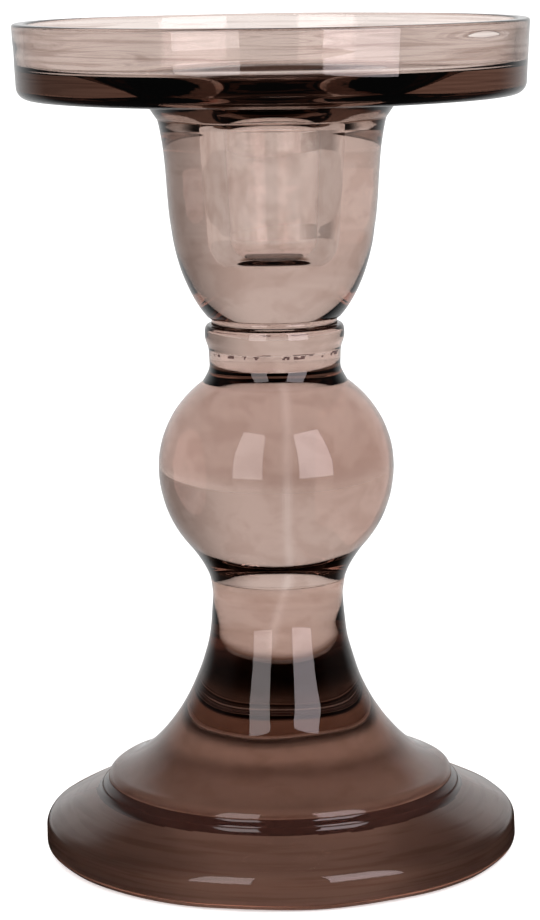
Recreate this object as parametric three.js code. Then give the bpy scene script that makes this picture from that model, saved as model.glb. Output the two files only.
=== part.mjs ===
// Pressed glass candlestick, 200 mm tall: a wide dish for a pillar candle on top of a socket
// for a taper candle, carried by two collar rings, a solid ball and a bell foot on a round disc.
// Every piece is a solid of revolution about +Z. The pieces are fused hot, so they meet on flat
// level faces of equal radius. Millimetres, +Z up, origin at the centre of the foot's underside.

import * as THREE from 'three';
import { mergeVertices } from 'three/addons/utils/BufferGeometryUtils.js';

// Levels of the fused faces, from the table up
const TOTAL_HEIGHT = 200;
const FOOT_TOP = 16;
const NECK_JOINT = 66.5;
const BALL_TOP = 118.6;
const COLLAR_SPLIT = 121.8;
const COLLAR_TOP = 128.2;
const CUP_BOTTOM = 130;
const CUP_TOP = 177;

// Radii
const FOOT_RADIUS = 57.3;
const STEP_RADIUS = 43.4;
const NECK_RADIUS = 15.75;
const NECK_JOINT_RADIUS = 16.3;
const BALL_RADIUS = 28.35;
const COLLAR_RADIUS = 15.7;
const COLLAR_RIM_RADIUS = 16.75;
const COLLAR_TOP_RADIUS = 15.8;
const WAFER_RADIUS = 15.1;
const CUP_FOOT_RADIUS = 15.9;
const CUP_TOP_RADIUS = 27.1;
const DISH_RADIUS = 60.9;
const SOCKET_RADIUS = 11.3;

// Foot disc
const FOOT_BOTTOM_EDGE = 3;
const FOOT_TOP_EDGE = 3.4;
const FOOT_WALL_TOP = 6.3;
const COVE_RADIUS = 1.2;

// Bell: the step it stands on, and the level where its neck is narrowest
const STEP_WALL_TOP = 17.3;
const STEP_LEAN = 1.5;
const SHOULDER_RADIUS = 2.6;
const NECK_LEVEL = 62.7;

// Ball: a little flatter above its widest level than below it
const BALL_CENTRE = 93.74;
const BALL_RISE = 26.2;
const BALL_DROP = 28.4;
const BALL_LOWEST_ANGLE = -42;
const BALL_HIGHEST_ANGLE = 52;

// Cup and its socket
const CUP_WALL_START = 151;
const CUP_WALL_START_RADIUS = 24.2;
const SOCKET_FLOOR = 144.5;
const SOCKET_LOW_RADIUS = 10.3;
const SOCKET_TAPER_TOP = 172;
const SOCKET_CORNER = 3.4;
const SOCKET_CORNER_HEIGHT = 6;

// Dish
const DISH_UNDERSIDE = 182.3;
const DISH_FLOOR = 189.3;
const DISH_CORNER = 3;
const DISH_DRAFT = 0.75;
const RIM_THICKNESS = 3.3;
const RIM_EDGE = 0.7;
const FLOOR_CORNER = 1.5;
const UNDERSIDE_FILLET_RADIUS = 34;

// Funnel that leads from the dish's floor down into the socket
const FUNNEL_RADIUS = 33;
const THROAT_RADIUS = 20;
const THROAT_LEVEL = 184.6;
const FUNNEL_BOTTOM = 178;

const SEGMENTS = 48;

// A round stretch of an outline: centre, radius across and up, first and last angle in degrees
function arc(radiusAt, level, across, from, to, steps, up = across) {
  return Array.from({ length: steps + 1 }, (_, i) => {
    const angle = THREE.MathUtils.degToRad(from + ((to - from) * i) / steps);
    return [radiusAt + across * Math.cos(angle), level + up * Math.sin(angle)];
  });
}

// A swept stretch of an outline: a cubic curve from start to end, pulled towards two handles
function sweep(start, handleA, handleB, end, steps) {
  const points = [start, handleA, handleB, end].map(([r, z]) => new THREE.Vector2(r, z));
  const curve = new THREE.CubicBezierCurve(...points);
  return curve.getPoints(steps).map((p) => [p.x, p.y]);
}

// A glass solid turned about +Z from its outline, given from the axis below to the axis above
function turned(name, colour, outline) {
  const closeTo = (a, b) => Math.hypot(a[0] - b[0], a[1] - b[1]) < 1e-6;
  const points = outline.filter((point, i) => i === 0 || !closeTo(point, outline[i - 1]));
  const lathe = new THREE.LatheGeometry(
    points.map(([r, z]) => new THREE.Vector2(r, z)), SEGMENTS);
  lathe.deleteAttribute('normal');
  lathe.deleteAttribute('uv');
  const geometry = mergeVertices(lathe, 1e-5);
  geometry.rotateX(Math.PI / 2);
  geometry.computeVertexNormals();
  const material = new THREE.MeshStandardMaterial({ color: colour, roughness: 0.03, metalness: 0 });
  const mesh = new THREE.Mesh(geometry, material);
  mesh.name = name;
  return mesh;
}

// Foot: a thick disc whose top rises to the seat of the bell
function footDisc() {
  const edge = FOOT_RADIUS - FOOT_BOTTOM_EDGE;
  const topEdge = arc(FOOT_RADIUS - FOOT_TOP_EDGE, FOOT_WALL_TOP, FOOT_TOP_EDGE, 0, 60, 4);
  const [slopeRadius, slopeLevel] = topEdge.at(-1);
  const coveStart = [STEP_RADIUS + COVE_RADIUS, FOOT_TOP - COVE_RADIUS * 1.3];
  return turned('foot_disc', 0x5d4039, [
    [0, 0],
    ...arc(edge, FOOT_BOTTOM_EDGE, FOOT_BOTTOM_EDGE, -90, 0, 4),
    ...topEdge,
    ...sweep([slopeRadius, slopeLevel], [slopeRadius - 3.4, slopeLevel + 1.9],
      [coveStart[0] + 3, coveStart[1] - 1.2], coveStart, 5),
    [STEP_RADIUS, FOOT_TOP],
    [0, FOOT_TOP],
  ]);
}

// Bell: a low step with a round shoulder, swept up into the narrow neck
function bellStem() {
  const wallTop = STEP_RADIUS - STEP_LEAN;
  const shoulder = arc(wallTop - SHOULDER_RADIUS, STEP_WALL_TOP, SHOULDER_RADIUS, 0, 67, 5);
  return turned('bell_stem', 0x6f5048, [
    [0, FOOT_TOP],
    [STEP_RADIUS, FOOT_TOP],
    ...shoulder,
    ...sweep(shoulder.at(-1), [27.7, 23.3], [NECK_RADIUS, 42.3], [NECK_RADIUS, NECK_LEVEL], 12),
    [NECK_JOINT_RADIUS, NECK_JOINT],
    [0, NECK_JOINT],
  ]);
}

// Ball: a solid knop that runs out into the neck below and the collar above
function ballKnop() {
  const lower = arc(0, BALL_CENTRE, BALL_RADIUS, BALL_LOWEST_ANGLE, 0, 7, BALL_DROP);
  const upper = arc(0, BALL_CENTRE, BALL_RADIUS, 0, BALL_HIGHEST_ANGLE, 7, BALL_RISE);
  return turned('ball_knop', 0xb49a92, [
    [0, NECK_JOINT],
    ...sweep([NECK_JOINT_RADIUS, NECK_JOINT], [NECK_JOINT_RADIUS + 0.5, NECK_JOINT + 2],
      [lower[0][0] - 2.2, lower[0][1] - 2.6], lower[0], 4),
    ...lower,
    ...upper,
    ...sweep(upper.at(-1), [16.4, 116.2], [COLLAR_RADIUS, 117.2], [COLLAR_RADIUS, BALL_TOP], 3),
    [0, BALL_TOP],
  ]);
}

// Collar rings: a plain lower ring and an upper one that swells to a rim
function collarLower() {
  return turned('collar_lower', 0xc0a79f, [
    [0, BALL_TOP],
    [COLLAR_RADIUS, BALL_TOP],
    [COLLAR_RADIUS + 0.15, COLLAR_SPLIT],
    [0, COLLAR_SPLIT],
  ]);
}

function collarUpper() {
  const start = [COLLAR_RADIUS + 0.15, COLLAR_SPLIT];
  const rimLevel = COLLAR_TOP - 2.4;
  return turned('collar_upper', 0xc4aaa2, [
    [0, COLLAR_SPLIT],
    ...sweep(start, [start[0] + 0.1, COLLAR_SPLIT + 1.6], [COLLAR_RIM_RADIUS, rimLevel - 1.6],
      [COLLAR_RIM_RADIUS, rimLevel], 4),
    ...sweep([COLLAR_RIM_RADIUS, rimLevel], [COLLAR_RIM_RADIUS, rimLevel + 1.4],
      [16.6, COLLAR_TOP], [COLLAR_TOP_RADIUS, COLLAR_TOP], 4),
    [0, COLLAR_TOP],
  ]);
}

// Wafer: the thin disc of glass that bonds the cup to the stem, set back as a groove
function jointWafer() {
  return turned('joint_wafer', 0x8b6f67, [
    [0, COLLAR_TOP],
    [WAFER_RADIUS, COLLAR_TOP],
    [WAFER_RADIUS, CUP_BOTTOM],
    [0, CUP_BOTTOM],
  ]);
}

// Cup: a thick-walled bowl with the blind, round-cornered taper socket sunk into it
function taperCup() {
  const corner = arc(SOCKET_LOW_RADIUS - SOCKET_CORNER, SOCKET_FLOOR + SOCKET_CORNER_HEIGHT, SOCKET_CORNER,
    0, -90, 5, SOCKET_CORNER_HEIGHT);
  return turned('taper_cup', 0xb1968e, [
    [0, CUP_BOTTOM],
    [CUP_FOOT_RADIUS, CUP_BOTTOM],
    ...sweep([CUP_FOOT_RADIUS, CUP_BOTTOM], [19.4, 133.8], [23.2, 142],
      [CUP_WALL_START_RADIUS, CUP_WALL_START], 8),
    ...sweep([CUP_WALL_START_RADIUS, CUP_WALL_START], [25.5, 159], [24.9, 168],
      [CUP_TOP_RADIUS, CUP_TOP], 6),
    [SOCKET_RADIUS, CUP_TOP],
    [SOCKET_RADIUS, SOCKET_TAPER_TOP],
    ...corner,
    [0, SOCKET_FLOOR],
  ]);
}

// Dish: a thick floor with a raised rim, sinking in a shallow funnel to the mouth of the socket
function pillarDish() {
  const bottomCorner = [DISH_RADIUS - DISH_DRAFT - DISH_CORNER, DISH_UNDERSIDE + DISH_CORNER];
  const innerRadius = DISH_RADIUS - RIM_THICKNESS;
  const edgeLevel = TOTAL_HEIGHT - RIM_EDGE;
  return turned('pillar_dish', 0xa4877f, [
    [SOCKET_RADIUS, CUP_TOP],
    [CUP_TOP_RADIUS, CUP_TOP],
    ...sweep([CUP_TOP_RADIUS, CUP_TOP], [29.4, 180], [30, DISH_UNDERSIDE],
      [UNDERSIDE_FILLET_RADIUS, DISH_UNDERSIDE], 5),
    ...arc(bottomCorner[0], bottomCorner[1], DISH_CORNER, -90, -3, 5),
    ...arc(DISH_RADIUS - RIM_EDGE, edgeLevel, RIM_EDGE, 0, 90, 3),
    ...arc(innerRadius + RIM_EDGE, edgeLevel, RIM_EDGE, 90, 180, 3),
    ...arc(innerRadius - FLOOR_CORNER, DISH_FLOOR + FLOOR_CORNER, FLOOR_CORNER, 0, -90, 3),
    ...sweep([FUNNEL_RADIUS, DISH_FLOOR], [29, DISH_FLOOR], [25, 186.2], [THROAT_RADIUS, THROAT_LEVEL], 5),
    ...sweep([THROAT_RADIUS, THROAT_LEVEL], [15, 183], [SOCKET_RADIUS, 181.5],
      [SOCKET_RADIUS, FUNNEL_BOTTOM], 5),
    [SOCKET_RADIUS, CUP_TOP],
  ]);
}

const candlestick = new THREE.Group();
candlestick.add(
  footDisc(), bellStem(), ballKnop(), collarLower(), collarUpper(), jointWafer(), taperCup(), pillarDish());

export default candlestick;
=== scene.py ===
"""Smoked glass candlestick on a pale studio floor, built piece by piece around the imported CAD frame."""

import math

import bmesh
import bpy
from mathutils import Matrix, Vector, noise


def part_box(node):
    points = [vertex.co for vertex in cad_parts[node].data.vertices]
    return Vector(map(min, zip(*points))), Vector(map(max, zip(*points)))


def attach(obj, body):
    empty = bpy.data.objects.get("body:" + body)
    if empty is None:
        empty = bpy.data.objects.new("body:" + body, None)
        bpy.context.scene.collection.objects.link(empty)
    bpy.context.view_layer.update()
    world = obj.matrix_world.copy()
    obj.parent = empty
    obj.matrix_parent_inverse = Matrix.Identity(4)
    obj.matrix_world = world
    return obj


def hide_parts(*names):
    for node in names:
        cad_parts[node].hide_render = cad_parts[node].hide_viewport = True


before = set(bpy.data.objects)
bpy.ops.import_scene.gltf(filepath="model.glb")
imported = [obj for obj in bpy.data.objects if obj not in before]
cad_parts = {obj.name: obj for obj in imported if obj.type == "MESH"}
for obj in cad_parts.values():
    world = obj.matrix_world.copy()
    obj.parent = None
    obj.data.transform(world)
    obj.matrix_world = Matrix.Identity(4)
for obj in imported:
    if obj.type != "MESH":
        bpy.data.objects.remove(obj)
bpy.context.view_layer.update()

MM = 0.001

# Camera: its lens and sensor in mm, and where it stands
LENS_MM = 119.06
CAMERA_DISTANCE = 0.7222
CAMERA_HEIGHT = 0.2208
CAMERA_PITCH = 0.1725
CAMERA_ROLL = math.radians(0.75)
CAMERA_SHIFT = -0.0068
SENSOR_WIDTH = 36

# Turned surfaces: faces round the axis, and degrees and metres from point to point of an outline
SEGMENTS = 288
ARC_STEP = 4.0
OUTLINE_STEP = 1.2 * MM
TINY = 1e-9

# Joints: how far fused pieces run into each other, how near a joint's level is on it, and a level normal
BOND_OVERLAP = 0.01 * MM
ON_LEVEL = 0.02 * MM
LEVEL_NORMAL = 0.999

# Hand-worked waviness of the glass: how far it stands off, and how often it changes across and up.
# The fine one is stronger on the dish's rim, and the bell has one of its own
WAVE_SLOW = 0.10 * MM
WAVE_SLOW_ACROSS, WAVE_SLOW_UP = 14, 60
WAVE_FINE = 0.05 * MM
WAVE_FINE_ACROSS, WAVE_FINE_UP = 30, 240
WAVE_FINE_START = 7
RIM_WAVE = 2.5
RIM_WAVE_FROM = 2 * MM
BELL_WAVE = 0.26 * MM
BELL_WAVE_ACROSS, BELL_WAVE_UP = 55, 110
BELL_WAVE_START = 3

# Lighter upright streak down the front of the ball and neck, where less skin colour is laid on; its
# middle drifts sideways
STREAK_LOW, STREAK_HIGH = 52 * MM, 119 * MM
STREAK_START = 0.5
STREAK_DRIFT = 9 * MM
STREAK_DRIFT_UP = 40
STREAK_WIDTH = 1.1 * MM
STREAK_BARE = 0.3

# Glass: clear, with a smoked skin on the outside, so the colour hardly depends on the thickness
GLASS_IOR = 1.52
GLASS_DENSITY = 30
SKIN_COLOUR = (0.49, 0.40, 0.36)
SKIN_DETAIL = 3
SKIN_DISTORTION = 0.4
SKIN_FROM, SKIN_TO = 0.45, 0.65

# The underside is ground; the groove over the foot gets painted shade, and the line between the collar
# rings has dark specks
GROUND_ROUGHNESS = 0.55
GROUND_LEVEL = 1.5 * MM
GROOVE_SHADE_AND_SPECK_COLOUR = (0.04, 0.02, 0.02)
GROOVE_SIZE = 1.6 * MM
SPECK_SCALE = 700
SPECK_FROM = 0.12
SPECK_BAND = 0.35 * MM

# Each glass: what it absorbs per mm; how often its skin varies across and up, and how dark it gets there
GLASSES = {
    "smoked_glass": ((0.0060, 0.0083, 0.0092), (24, 30), (0.82, 0.77, 0.75)),
    "dish_glass": ((0.017, 0.022, 0.0245), (5, 240), (0.62, 0.55, 0.53)),
    "bell_glass": ((0.009, 0.0125, 0.0142), (24, 50), (0.84, 0.79, 0.76)),
    "foot_glass": ((0.0040, 0.0095, 0.0120), (8, 240), (0.66, 0.58, 0.54)),
}

# Light left after a reflection inside the glass, and after one on its outside, face on and grazing
REFLECTION_LEFT = (0.25, 0.18, 0.15)
OUTSIDE_LEFT = 0.03
GRAZING_LEFT = 0.5
GRAZING_FROM, GRAZING_TO = 0.45, 1

# Backdrop for reflections: it fades in from the sides and out overhead; its right is dimmer through glass
BACK_LIGHT = 1.48
ROOM_LIGHT = 0.02
BACK_FROM, BACK_TO = -0.45, -0.1
UP_FROM, UP_TO = 0.5, 0.7
RIGHT_FROM, RIGHT_TO = 0.15, 0.75
RIGHT_FALL = 0.45

# Floor: a disc that turns paler with distance
FLOOR_RADIUS = 12
FLOOR_SIDES = 128
FLOOR_GAP = 0.2 * MM
FLOOR_ALBEDO = 0.92
FLOOR_ROUGHNESS = 0.9
PALE_FROM, PALE_TO = 0.3, 3

# Floor glow, painted light that rays off or through the glass find, and where their first reflection
# takes no light
MIRRORED_FLOOR_GLOW = 1.25
MIRROR_FROM, MIRROR_TO = 20 * MM, 90 * MM
FREE_FROM, FREE_TO = 70 * MM, 120 * MM

# Floor seen through the glass: a dark ring round the foot and a wide warm shade
FOOT_SHADE = (0.72, 0.80, 0.84)
RING_IN_FROM, RING_IN_TO = 55 * MM, 60 * MM
RING_OUT_FROM, RING_OUT_TO = 65 * MM, 95 * MM
TABLE_SHADE = (0.13, 0.18, 0.20)
TABLE_FROM, TABLE_TO = 0.3, 2.5

# Floor seen past the glass: a glow that softens the contact shadow
CONTACT_GLOW = 0.3
CONTACT_FROM, CONTACT_TO = 57 * MM, 80 * MM

# Softboxes, facing the ball: azimuth from the camera, spread, lowest and highest angle, and colour
SOFTBOX_LIGHT = 4.0
SOFTBOX_DISTANCE = 1.1
SOFTBOX_AIM = 94 * MM
SOFTBOXES = {
    "softbox_left": (-27.8, 29, -3, 46, (0.8, 0.72, 0.72)),
    "softbox_right": (39, 34, -3, 46, (1, 0.88, 0.92)),
}

# Most bounces of a ray, in all and through glass, and of the other kinds
GLASS_BOUNCES = 32
OTHER_BOUNCES = 16

# Levels and radii that the frame gives
FOOT_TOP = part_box("foot_disc")[1][2]
NECK_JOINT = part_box("bell_stem")[1][2]
BALL_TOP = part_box("ball_knop")[1][2]
COLLAR_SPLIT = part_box("collar_lower")[1][2]
COLLAR_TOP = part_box("collar_upper")[1][2]
CUP_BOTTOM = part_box("joint_wafer")[1][2]
CUP_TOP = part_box("taper_cup")[1][2]
TOTAL_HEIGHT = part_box("pillar_dish")[1][2]
FOOT_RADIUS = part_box("foot_disc")[1][0]
STEP_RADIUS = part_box("bell_stem")[1][0]
BALL_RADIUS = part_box("ball_knop")[1][0]
COLLAR_RIM_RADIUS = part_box("collar_upper")[1][0]
WAFER_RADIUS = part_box("joint_wafer")[1][0]
CUP_TOP_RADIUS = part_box("taper_cup")[1][0]
DISH_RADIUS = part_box("pillar_dish")[1][0]

# Radii of the joints and the socket, and levels of the socket's floor and the dish's slab
NECK_JOINT_RADIUS = 16.3 * MM
COLLAR_RADIUS = 15.7 * MM
COLLAR_FLARE = 0.15 * MM
SOCKET_RADIUS = 11.3 * MM
SOCKET_FLOOR = 144.5 * MM
DISH_UNDERSIDE = 182.3 * MM
DISH_FLOOR = 189.3 * MM
RIM_THICKNESS = 3.3 * MM
FUNNEL_BOTTOM = 178 * MM
THROAT_RADIUS = 20 * MM

# Level faces where a piece is fused to the next: level, inner radius, outer radius
BONDS = (
    (FOOT_TOP, 0, STEP_RADIUS),
    (NECK_JOINT, 0, NECK_JOINT_RADIUS),
    (BALL_TOP, 0, COLLAR_RADIUS),
    (COLLAR_SPLIT, 0, COLLAR_RADIUS + COLLAR_FLARE),
    (COLLAR_TOP, 0, WAFER_RADIUS),
    (CUP_BOTTOM, 0, WAFER_RADIUS),
    (CUP_TOP, SOCKET_RADIUS, CUP_TOP_RADIUS),
)

# Hollows, which have no smoked skin: recess, funnel and socket, by lowest level and widest radius
HOLLOWS = (
    (DISH_UNDERSIDE + 1.7 * MM, DISH_RADIUS - 2.5 * MM),
    (FUNNEL_BOTTOM, THROAT_RADIUS + MM),
    (SOCKET_FLOOR - 0.5 * MM, SOCKET_RADIUS + 3.7 * MM),
)


def make_camera():
    data = bpy.data.cameras.new("camera")
    data.sensor_width = SENSOR_WIDTH
    data.lens = LENS_MM
    data.shift_x = CAMERA_SHIFT
    camera = bpy.data.objects.new("camera", data)
    bpy.context.collection.objects.link(camera)
    tilt = Matrix.Rotation(math.pi / 2 - CAMERA_PITCH, 4, "X") @ Matrix.Rotation(-CAMERA_ROLL, 4, "Z")
    camera.matrix_world = Matrix.Translation((0, -CAMERA_DISTANCE, CAMERA_HEIGHT)) @ tilt
    bpy.context.scene.camera = camera


# Outlines: lists of (radius, level) in metres

def arc(radius_at, level, across, start, end, up=None):
    """A round stretch, from angle start to angle end in degrees"""
    up = across if up is None else up
    steps = max(3, math.ceil(abs(end - start) / ARC_STEP))
    angles = [math.radians(start + (end - start) * i / steps) for i in range(steps + 1)]
    return [(radius_at + across * math.cos(a), level + up * math.sin(a)) for a in angles]


def sweep(start, handle_a, handle_b, end, steps=24):
    """A cubic curve from start to end, pulled towards two handles"""
    points = []
    for i in range(steps + 1):
        t = i / steps
        weights = ((1 - t) ** 3, 3 * t * (1 - t) ** 2, 3 * t * t * (1 - t), t ** 3)
        corners = (start, handle_a, handle_b, end)
        points.append(tuple(sum(w * c[k] for w, c in zip(weights, corners)) for k in (0, 1)))
    return points


def straight(start, end, steps):
    """A straight stretch from start to end, in equal steps"""
    return [(start[0] + (end[0] - start[0]) * i / steps, start[1] + (end[1] - start[1]) * i / steps)
            for i in range(steps + 1)]


def at(radius_mm, level_mm):
    """A point of an outline, given in millimetres"""
    return radius_mm * MM, level_mm * MM


def foot_outline():
    bottom_edge, top_edge, wall_top, cove = 3 * MM, 3.4 * MM, 6.3 * MM, 1.2 * MM
    edge = arc(FOOT_RADIUS - top_edge, wall_top, top_edge, 0, 60)
    slope_radius, slope_level = edge[-1]
    cove_start = (STEP_RADIUS + cove, FOOT_TOP - 1.3 * cove)
    return [
        (0, 0),
        *arc(FOOT_RADIUS - bottom_edge, bottom_edge, bottom_edge, -90, 0),
        *edge,
        *sweep(edge[-1], (slope_radius - 3.4 * MM, slope_level + 1.9 * MM),
               (cove_start[0] + 3 * MM, cove_start[1] - 1.2 * MM), cove_start),
        *sweep(cove_start, (cove_start[0] - 0.8 * MM, cove_start[1] + 0.3 * MM),
               (STEP_RADIUS, FOOT_TOP - 0.6 * MM), (STEP_RADIUS, FOOT_TOP), 8),
        (STEP_RADIUS, FOOT_TOP + BOND_OVERLAP),
        (0, FOOT_TOP + BOND_OVERLAP),
    ]


def bell_outline():
    lean, wall_top, shoulder_radius = 1.5 * MM, 17.3 * MM, 2.6 * MM
    neck_radius, neck_level = at(15.75, 62.7)
    shoulder = arc(STEP_RADIUS - lean - shoulder_radius, wall_top, shoulder_radius, 0, 67)
    return [
        (0, FOOT_TOP - BOND_OVERLAP),
        (STEP_RADIUS, FOOT_TOP - BOND_OVERLAP),
        (STEP_RADIUS, FOOT_TOP),
        *shoulder,
        *sweep(shoulder[-1], at(27.7, 23.3), (neck_radius, 42.3 * MM), (neck_radius, neck_level), 64),
        (NECK_JOINT_RADIUS, NECK_JOINT),
        (NECK_JOINT_RADIUS, NECK_JOINT + BOND_OVERLAP),
        (0, NECK_JOINT + BOND_OVERLAP),
    ]


def ball_outline():
    centre, rise, drop = 93.74 * MM, 26.2 * MM, 28.4 * MM
    lower = arc(0, centre, BALL_RADIUS, -42, 0, drop)
    upper = arc(0, centre, BALL_RADIUS, 0, 52, rise)
    return [
        (0, NECK_JOINT - BOND_OVERLAP),
        (NECK_JOINT_RADIUS, NECK_JOINT - BOND_OVERLAP),
        *sweep((NECK_JOINT_RADIUS, NECK_JOINT), (NECK_JOINT_RADIUS + 0.5 * MM, NECK_JOINT + 2 * MM),
               (lower[0][0] - 2.2 * MM, lower[0][1] - 2.6 * MM), lower[0]),
        *lower,
        *upper,
        *sweep(upper[-1], at(16.4, 116.2), (COLLAR_RADIUS, 117.2 * MM), (COLLAR_RADIUS, BALL_TOP)),
        (COLLAR_RADIUS, BALL_TOP + BOND_OVERLAP),
        (0, BALL_TOP + BOND_OVERLAP),
    ]


def lower_collar_outline():
    return [
        (0, BALL_TOP - BOND_OVERLAP),
        (COLLAR_RADIUS, BALL_TOP - BOND_OVERLAP),
        *straight((COLLAR_RADIUS, BALL_TOP), (COLLAR_RADIUS + COLLAR_FLARE, COLLAR_SPLIT), 8),
        (COLLAR_RADIUS + COLLAR_FLARE, COLLAR_SPLIT + BOND_OVERLAP),
        (0, COLLAR_SPLIT + BOND_OVERLAP),
    ]


def upper_collar_outline():
    start_radius, rim_level = COLLAR_RADIUS + COLLAR_FLARE, COLLAR_TOP - 2.4 * MM
    start, rim = (start_radius, COLLAR_SPLIT), (COLLAR_RIM_RADIUS, rim_level)
    return [
        (0, COLLAR_SPLIT - BOND_OVERLAP),
        (start_radius, COLLAR_SPLIT - BOND_OVERLAP),
        *sweep(start, (start_radius + 0.1 * MM, COLLAR_SPLIT + 1.6 * MM),
               (COLLAR_RIM_RADIUS, rim_level - 1.6 * MM), rim),
        *sweep(rim, (COLLAR_RIM_RADIUS, rim_level + 1.4 * MM),
               (16.6 * MM, COLLAR_TOP), (15.8 * MM, COLLAR_TOP)),
        (WAFER_RADIUS, COLLAR_TOP),
        (WAFER_RADIUS, COLLAR_TOP + BOND_OVERLAP),
        (0, COLLAR_TOP + BOND_OVERLAP),
    ]


def wafer_outline():
    return [
        (0, COLLAR_TOP - BOND_OVERLAP),
        (WAFER_RADIUS, COLLAR_TOP - BOND_OVERLAP),
        (WAFER_RADIUS, CUP_BOTTOM + BOND_OVERLAP),
        (0, CUP_BOTTOM + BOND_OVERLAP),
    ]


def cup_outline():
    foot_radius, socket_low, corner, corner_height = 15.9 * MM, 10.3 * MM, 3.4 * MM, 6 * MM
    wall_start = at(24.2, 151)
    return [
        (0, CUP_BOTTOM - BOND_OVERLAP),
        (WAFER_RADIUS, CUP_BOTTOM - BOND_OVERLAP),
        (WAFER_RADIUS, CUP_BOTTOM),
        (foot_radius - 0.4 * MM, CUP_BOTTOM),
        *sweep((foot_radius, CUP_BOTTOM), at(19.4, 133.8), at(23.2, 142), wall_start, 36),
        *sweep(wall_start, at(25.5, 159), at(24.9, 168), (CUP_TOP_RADIUS, CUP_TOP)),
        (CUP_TOP_RADIUS, CUP_TOP + BOND_OVERLAP),
        (SOCKET_RADIUS, CUP_TOP + BOND_OVERLAP),
        (SOCKET_RADIUS, 172 * MM),
        *arc(socket_low - corner, SOCKET_FLOOR + corner_height, corner, 0, -90, corner_height),
        (0, SOCKET_FLOOR),
    ]


def dish_outline():
    corner, draft, floor_corner, rim_edge = 3 * MM, 0.75 * MM, 1.5 * MM, 0.7 * MM
    inner_radius, edge_level = DISH_RADIUS - RIM_THICKNESS, TOTAL_HEIGHT - rim_edge
    funnel, throat = (33 * MM, DISH_FLOOR), (THROAT_RADIUS, 184.6 * MM)
    return [
        (SOCKET_RADIUS, CUP_TOP - BOND_OVERLAP),
        (CUP_TOP_RADIUS, CUP_TOP - BOND_OVERLAP),
        (CUP_TOP_RADIUS, CUP_TOP),
        *sweep((CUP_TOP_RADIUS, CUP_TOP), at(29.4, 180),
               (30 * MM, DISH_UNDERSIDE), (34 * MM, DISH_UNDERSIDE)),
        *arc(DISH_RADIUS - draft - corner, DISH_UNDERSIDE + corner, corner, -90, -3),
        *arc(DISH_RADIUS - rim_edge, edge_level, rim_edge, 0, 90),
        *arc(inner_radius + rim_edge, edge_level, rim_edge, 90, 180),
        *arc(inner_radius - floor_corner, DISH_FLOOR + floor_corner, floor_corner, 0, -90),
        *sweep(funnel, (29 * MM, DISH_FLOOR), at(25, 186.2), throat, 16),
        *sweep(throat, at(15, 183), (SOCKET_RADIUS, 181.5 * MM), (SOCKET_RADIUS, FUNNEL_BOTTOM), 16),
        (SOCKET_RADIUS, CUP_TOP - BOND_OVERLAP),
    ]


# What the glass is like on a face, told from the face's centre

def fused(centre, normal):
    """Whether a face lies on a joint, where glass runs on into glass"""
    radius = math.hypot(centre.x, centre.y)
    is_level = abs(normal.z) > LEVEL_NORMAL
    return is_level and any(
        abs(centre.z - level) < ON_LEVEL and inner - MM < radius < outer + BOND_OVERLAP
        for level, inner, outer in BONDS)


def inside(centre):
    """Whether a face is in the dish's recess, its funnel or the socket, which have no smoked skin"""
    radius = math.hypot(centre.x, centre.y)
    return any(centre.z > lowest and radius < widest for lowest, widest in HOLLOWS)


def groove_shade_or_speck(centre):
    """Whether a face is in the groove over the foot, which gets painted shade, or a speck on the line
    between the collar rings
    """
    radius = math.hypot(centre.x, centre.y)
    in_groove = abs(centre.z - FOOT_TOP) < GROOVE_SIZE and radius < STEP_RADIUS + GROOVE_SIZE
    is_speck = noise.noise(centre * SPECK_SCALE) > SPECK_FROM
    return in_groove or (is_speck and abs(centre.z - COLLAR_SPLIT) < SPECK_BAND)


def front_streak(centre):
    """How near a face is to the middle of the lighter front streak: 1 on it, 0 away from it"""
    if centre.y > 0 or not STREAK_LOW < centre.z < STREAK_HIGH:
        return 0
    middle = STREAK_DRIFT * noise.noise(Vector((STREAK_START, STREAK_START, centre.z * STREAK_DRIFT_UP)))
    return math.exp(-((centre.x - middle) / STREAK_WIDTH) ** 2)


# Solids

def runs_level_to_axis(start, end):
    """Whether a stretch is a radius of a joint's face or of the base"""
    return abs(start[1] - end[1]) < TINY and min(start[0], end[0]) < TINY


def filled(outline):
    """The outline with points put in, so that no stretch but those radii is longer than a step"""
    points = outline[:1]
    for start, end in zip(outline, outline[1:]):
        steps = 1 if runs_level_to_axis(start, end) else math.ceil(math.dist(start, end) / OUTLINE_STEP)
        points += straight(start, end, max(1, steps))[1:]
    return [p for i, p in enumerate(points) if i == 0 or math.dist(p, points[i - 1]) > TINY]


def waviness(x, y, z):
    """How far the hand-worked surface stands off its true outline"""
    slow = Vector((x * WAVE_SLOW_ACROSS, y * WAVE_SLOW_ACROSS, z * WAVE_SLOW_UP))
    fine = Vector((x * WAVE_FINE_ACROSS + WAVE_FINE_START, y * WAVE_FINE_ACROSS, z * WAVE_FINE_UP))
    bell = Vector((x * BELL_WAVE_ACROSS, y * BELL_WAVE_ACROSS + BELL_WAVE_START, z * BELL_WAVE_UP))
    fine_wave = WAVE_FINE * RIM_WAVE if z > DISH_FLOOR + RIM_WAVE_FROM else WAVE_FINE
    bell_wave = BELL_WAVE if z < NECK_JOINT else 0
    return WAVE_SLOW * noise.noise(slow) + fine_wave * noise.noise(fine) + bell_wave * noise.noise(bell)


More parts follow.
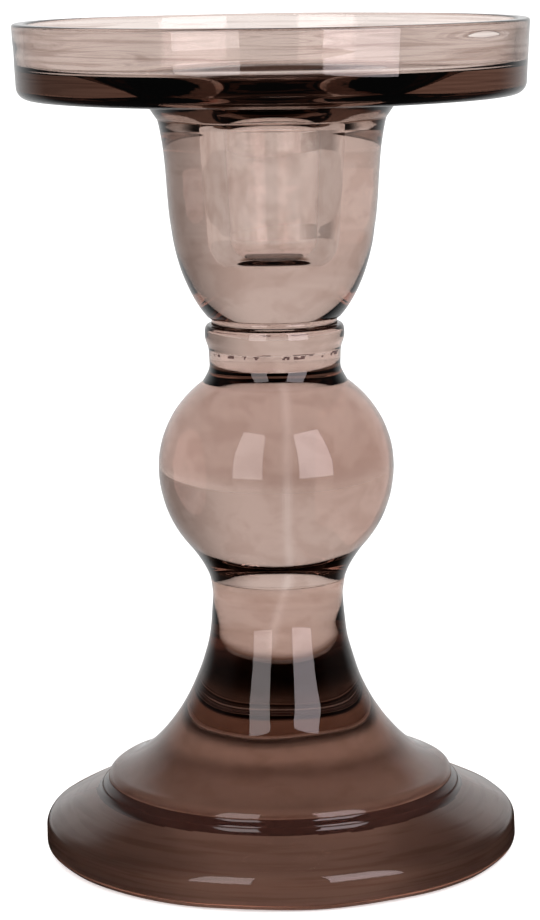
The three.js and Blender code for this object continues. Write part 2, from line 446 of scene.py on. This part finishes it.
def point_rings(mesh, points):
    """The vertices of each point of an outline turned about the axis, one for a point on the axis"""
    rings = []
    for index, (radius, level) in enumerate(points):
        before, after = points[index - 1], points[(index + 1) % len(points)]
        along = Vector((after[0] - before[0], after[1] - before[1])).normalized()
        held = level < ON_LEVEL or any(abs(level - bond_level) < ON_LEVEL for bond_level, _, _ in BONDS)
        out, up = (1, 0) if held else (along.y, -along.x)
        ring = []
        for turn in range(SEGMENTS if radius > 0 else 1):
            angle = 2 * math.pi * turn / SEGMENTS
            x, y = radius * math.cos(angle), radius * math.sin(angle)
            off = waviness(x, y, level) if radius > 0 else 0
            reach = radius + out * off
            place = (reach * math.cos(angle), reach * math.sin(angle), level + up * off)
            ring.append(mesh.verts.new(place))
        rings.append(ring)
    return rings


def join_rings(mesh, low, high):
    """Faces between two rings, triangles where one of them is a point on the axis"""
    for i in range(SEGMENTS):
        j = (i + 1) % SEGMENTS
        if len(low) == 1:
            corners = (low[0], high[j], high[i])
        elif len(high) == 1:
            corners = (low[i], low[j], high[0])
        else:
            corners = (low[i], low[j], high[j], high[i])
        mesh.faces.new(corners)


def mark_faces(mesh):
    """Tell the material about each face: joint, share of skin, ground base, painted shade in the groove
    or a speck
    """
    names = ("bond", "coated", "ground", "groove_shade_and_specks")
    bond, coated, ground, groove_shade_and_specks = [mesh.faces.layers.float.new(name) for name in names]
    for face in mesh.faces:
        centre = face.calc_center_median()
        joined = fused(centre, face.normal)
        bare = joined or inside(centre)
        face.smooth = True
        face[bond] = float(joined)
        face[coated] = 0 if bare else 1 - STREAK_BARE * front_streak(centre)
        face[ground] = float(centre.z < GROUND_LEVEL)
        face[groove_shade_and_specks] = float(groove_shade_or_speck(centre))


def turned(name, outline, material):
    """A closed glass solid turned about the axis; an outline that ends off the axis closes on itself"""
    points = filled(outline)
    closes_on_itself = points[0][0] > 0
    if closes_on_itself:
        points.pop()
    mesh = bmesh.new()
    rings = point_rings(mesh, points)
    pairs = list(zip(rings, rings[1:]))
    if closes_on_itself:
        pairs.append((rings[-1], rings[0]))
    for low, high in pairs:
        join_rings(mesh, low, high)
    bmesh.ops.recalc_face_normals(mesh, faces=mesh.faces)
    mark_faces(mesh)
    data = bpy.data.meshes.new(name)
    mesh.to_mesh(data)
    mesh.free()
    data.materials.append(material)
    piece = bpy.data.objects.new(name, data)
    bpy.context.collection.objects.link(piece)
    return piece


# Materials and light

class Graph:
    """The shader nodes of a material, world or light"""

    def __init__(self, owner):
        owner.use_nodes = True
        self.nodes = owner.node_tree.nodes
        self.links = owner.node_tree.links

    def feed(self, socket, value):
        """Set an input to a number, vector or colour, or link the output of another node to it"""
        if isinstance(value, bpy.types.NodeSocket):
            self.links.new(value, socket)
        else:
            socket.default_value = value

    def add(self, kind, **settings):
        node = self.nodes.new("ShaderNode" + kind)
        for name, value in settings.items():
            setattr(node, name, value)
        return node

    def math(self, operation, *values):
        node = self.add("Math", operation=operation)
        for socket, value in zip(node.inputs, values):
            self.feed(socket, value)
        return node.outputs[0]

    def product(self, first, *others):
        for other in others:
            first = self.math("MULTIPLY", first, other)
        return first

    def some(self, depth):
        """1 where a ray has met at least one surface of the kind, 0 elsewhere"""
        return self.math("GREATER_THAN", depth, 0.5)

    def none(self, depth):
        return self.math("LESS_THAN", depth, 0.5)

    def ramp(self, value, low, high):
        """0 below low, 1 above high, with a soft change between them"""
        node = self.add("MapRange", interpolation_type="SMOOTHSTEP")
        self.feed(node.inputs["From Min"], low)
        self.feed(node.inputs["From Max"], high)
        self.feed(node.inputs["Value"], value)
        return node.outputs[0]

    def fade(self, value, low, high):
        """1 below low, 0 above high, with a soft change between them"""
        return self.math("SUBTRACT", 1, self.ramp(value, low, high))

    def vector(self, operation, *values):
        node = self.add("VectorMath", operation=operation)
        for socket, value in zip(node.inputs, values):
            self.feed(socket, value)
        return node.outputs

    def axes(self, vector):
        node = self.add("SeparateXYZ")
        self.feed(node.inputs[0], vector)
        return node.outputs

    def colour(self, channels):
        node = self.add("CombineColor")
        for socket, channel in zip(node.inputs, channels):
            self.feed(socket, channel)
        return node.outputs[0]

    def mix(self, factor, first, second):
        node = self.add("Mix", data_type="RGBA")
        self.feed(node.inputs["Factor"], factor)
        self.feed(node.inputs["A"], first)
        self.feed(node.inputs["B"], second)
        return node.outputs[2]

    def attribute(self, name):
        return self.add("Attribute", attribute_name=name).outputs["Fac"]


def skin_colour(graph, variation, dark_left):
    """The smoked skin: cloudy or streaked, darkened in the groove as painted shade and at the specks, and
    white where there is none
    """
    across, up = variation
    place = graph.add("TexCoord").outputs["Object"]
    pattern = graph.add("TexNoise")
    graph.feed(pattern.inputs["Vector"], graph.vector("MULTIPLY", place, (across, across, up))["Vector"])
    graph.feed(pattern.inputs["Detail"], SKIN_DETAIL)
    graph.feed(pattern.inputs["Distortion"], SKIN_DISTORTION)
    dark = [channel * left for channel, left in zip(SKIN_COLOUR, dark_left)]
    darkness = graph.ramp(pattern.outputs["Fac"], SKIN_FROM, SKIN_TO)
    varied = graph.mix(darkness, (*SKIN_COLOUR, 1), (*dark, 1))
    # painted shade in the groove over the foot, and the dark specks by the collar
    groove_shade_and_specks = graph.mix(graph.attribute("groove_shade_and_specks"), varied, (*GROOVE_SHADE_AND_SPECK_COLOUR, 1))
    return graph.mix(graph.attribute("coated"), (1, 1, 1, 1), groove_shade_and_specks)


def glass_material(name, absorbed_per_mm, variation, dark_left):
    """Glass with a smoked skin; on the faces of a joint it doesn't bend light, as glass runs on there"""
    material = bpy.data.materials.new(name)
    graph = Graph(material)
    shader = graph.nodes["Principled BSDF"].inputs
    index = graph.add("MapRange")
    graph.feed(index.inputs["Value"], graph.attribute("bond"))
    graph.feed(index.inputs["To Min"], GLASS_IOR)
    graph.feed(index.inputs["To Max"], 1)
    graph.feed(shader["IOR"], index.outputs["Result"])
    graph.feed(shader["Transmission Weight"], 1)
    graph.feed(shader["Roughness"], graph.product(graph.attribute("ground"), GROUND_ROUGHNESS))
    graph.feed(shader["Base Color"], skin_colour(graph, variation, dark_left))
    absorption = graph.add("VolumeAbsorption")
    kept = [1 - absorbed / MM / GLASS_DENSITY for absorbed in absorbed_per_mm]
    graph.feed(absorption.inputs["Color"], (*kept, 1))
    graph.feed(absorption.inputs["Density"], GLASS_DENSITY)
    graph.feed(graph.nodes["Material Output"].inputs["Volume"], absorption.outputs["Volume"])
    return material


# Each piece with its outline and its glass
PIECES = {
    "foot_disc": (foot_outline, "foot_glass"),
    "bell_stem": (bell_outline, "bell_glass"),
    "ball_knop": (ball_outline, "smoked_glass"),
    "collar_lower": (lower_collar_outline, "smoked_glass"),
    "collar_upper": (upper_collar_outline, "smoked_glass"),
    "joint_wafer": (wafer_outline, "smoked_glass"),
    "taper_cup": (cup_outline, "smoked_glass"),
    "pillar_dish": (dish_outline, "dish_glass"),
}


def make_candlestick():
    glasses = {name: glass_material(name, *values) for name, values in GLASSES.items()}
    for node, (outline, glass) in PIECES.items():
        piece = turned(node + "_glass", outline(), glasses[glass])
        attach(piece, "root")
        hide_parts(node)


def light_left(graph, strength, free_reflections, outside_left):
    """Colour of a light, dimmed by each reflection inside the glass and by one on its outside"""
    path = graph.add("LightPath").outputs
    lossy = graph.math("MAXIMUM", graph.math("SUBTRACT", path["Glossy Depth"], free_reflections), 0)
    outside = graph.product(graph.some(path["Glossy Depth"]), graph.none(path["Transmission Depth"]))
    lost = graph.product(outside, graph.math("SUBTRACT", 1, outside_left))
    strength = graph.product(strength, graph.math("SUBTRACT", 1, lost))
    inside_left = [graph.math("POWER", left, lossy) for left in REFLECTION_LEFT]
    return graph.colour([graph.product(left, strength) for left in inside_left])


def left_outside(graph, forward):
    """Share of light left to a ray reflected on the outside; forward is how far it runs on along +Y"""
    grazing = graph.ramp(forward, GRAZING_FROM, GRAZING_TO)
    return graph.math("MULTIPLY_ADD", grazing, GRAZING_LEFT, OUTSIDE_LEFT)


def make_world():
    """White all round to a direct ray; a reflected one finds the backdrop behind, else a dark room"""
    world = bpy.data.worlds.new("studio")
    bpy.context.scene.world = world
    graph = Graph(world)
    axes = graph.axes(graph.add("TexCoord").outputs["Generated"])
    path = graph.add("LightPath").outputs
    behind = graph.ramp(axes["Y"], BACK_FROM, BACK_TO)
    backdrop = graph.product(behind, graph.fade(axes["Z"], UP_FROM, UP_TO))
    seen = graph.math("MAXIMUM", backdrop, graph.none(path["Glossy Depth"]))
    level = graph.math("MULTIPLY_ADD", seen, BACK_LIGHT - ROOM_LIGHT, ROOM_LIGHT)
    through, off_floor = graph.some(path["Transmission Depth"]), graph.some(path["Diffuse Depth"])
    through_only = graph.product(through, graph.math("SUBTRACT", 1, off_floor))
    right = graph.product(graph.ramp(axes["X"], RIGHT_FROM, RIGHT_TO), through_only)
    level = graph.product(level, graph.math("MULTIPLY_ADD", right, -RIGHT_FALL, 1))
    colour = light_left(graph, level, free_reflections=1, outside_left=left_outside(graph, axes["Y"]))
    graph.feed(graph.nodes["Background"].inputs["Color"], colour)


def floor_material():
    """Pale and plain; rays that come through the glass or off it find the shades and glows named above"""
    material = bpy.data.materials.new("floor")
    graph = Graph(material)
    shader = graph.nodes["Principled BSDF"].inputs
    place = graph.add("TexCoord").outputs["Object"]
    far = graph.vector("LENGTH", place)["Value"]
    path = graph.add("LightPath").outputs
    direct, through = graph.none(path["Glossy Depth"]), graph.some(path["Transmission Depth"])

    pale = graph.math("MULTIPLY_ADD", graph.ramp(far, PALE_FROM, PALE_TO), 1 - FLOOR_ALBEDO, FLOOR_ALBEDO)
    pale = graph.product(pale, direct)
    ring = graph.product(graph.ramp(far, RING_IN_FROM, RING_IN_TO), through)
    ring = graph.product(ring, graph.fade(far, RING_OUT_FROM, RING_OUT_TO))
    table = graph.product(graph.fade(far, TABLE_FROM, TABLE_TO), through)
    channels = []
    for foot_shade, table_shade in zip(FOOT_SHADE, TABLE_SHADE):
        ring_left = graph.math("MULTIPLY_ADD", ring, -foot_shade, 1)
        table_left = graph.math("MULTIPLY_ADD", table, -table_shade, 1)
        channels.append(graph.product(ring_left, table_left, pale))
    graph.feed(shader["Base Color"], graph.colour(channels))

    # painted light: the floor glows for rays that come off or through the glass
    mirrored = graph.product(graph.math("SUBTRACT", 1, direct), MIRRORED_FLOOR_GLOW)
    mirrored = graph.product(mirrored, graph.ramp(far, MIRROR_FROM, MIRROR_TO))
    beside_glass = graph.some(graph.math("SUBTRACT", direct, through))
    contact = graph.product(graph.fade(far, CONTACT_FROM, CONTACT_TO), beside_glass, CONTACT_GLOW)
    glow = graph.math("ADD", mirrored, contact)
    free_reflections = graph.ramp(far, FREE_FROM, FREE_TO)
    forward = graph.axes(graph.vector("NORMALIZE", place)["Vector"])["Y"]
    colour = light_left(graph, glow, free_reflections, left_outside(graph, forward))
    graph.feed(shader["Emission Color"], colour)
    graph.feed(shader["Emission Strength"], 1)
    graph.feed(shader["Roughness"], FLOOR_ROUGHNESS)
    graph.feed(shader["Specular IOR Level"], 0)
    return material


def make_floor():
    bpy.ops.mesh.primitive_circle_add(vertices=FLOOR_SIDES, radius=FLOOR_RADIUS, fill_type="NGON",
                                      location=(0, 0, -FLOOR_GAP))
    floor = bpy.context.object
    floor.name = "floor"
    floor.data.materials.append(floor_material())


def make_softbox(name, azimuth, spread, low, high, colour):
    """A tall softbox that stands upright, facing the ball"""
    bottom, top = [SOFTBOX_DISTANCE * math.tan(math.radians(angle)) for angle in (low, high)]
    width = 2 * SOFTBOX_DISTANCE * math.tan(math.radians(spread / 2))
    data = bpy.data.lights.new(name, "AREA")
    data.shape = "RECTANGLE"
    data.size, data.size_y = width, top - bottom
    data.color = colour
    data.energy = SOFTBOX_LIGHT * width * (top - bottom) * math.pi
    graph = Graph(data)
    colour_left = light_left(graph, strength=1, free_reflections=1, outside_left=1)
    graph.feed(graph.nodes["Emission"].inputs["Color"], colour_left)
    light = bpy.data.objects.new(name, data)
    bpy.context.collection.objects.link(light)
    turn = math.radians(azimuth)
    light.location = (SOFTBOX_DISTANCE * math.sin(turn), -SOFTBOX_DISTANCE * math.cos(turn),
                      SOFTBOX_AIM + (bottom + top) / 2)
    light.rotation_euler = (math.pi / 2, 0, turn)


make_camera()
make_candlestick()
make_world()
make_floor()
for softbox, placing in SOFTBOXES.items():
    make_softbox(softbox, *placing)
scene = bpy.context.scene
scene.view_settings.view_transform = "Standard"
scene.cycles.max_bounces = GLASS_BOUNCES
scene.cycles.transmission_bounces = GLASS_BOUNCES
scene.cycles.glossy_bounces = OTHER_BOUNCES
scene.cycles.transparent_max_bounces = OTHER_BOUNCES
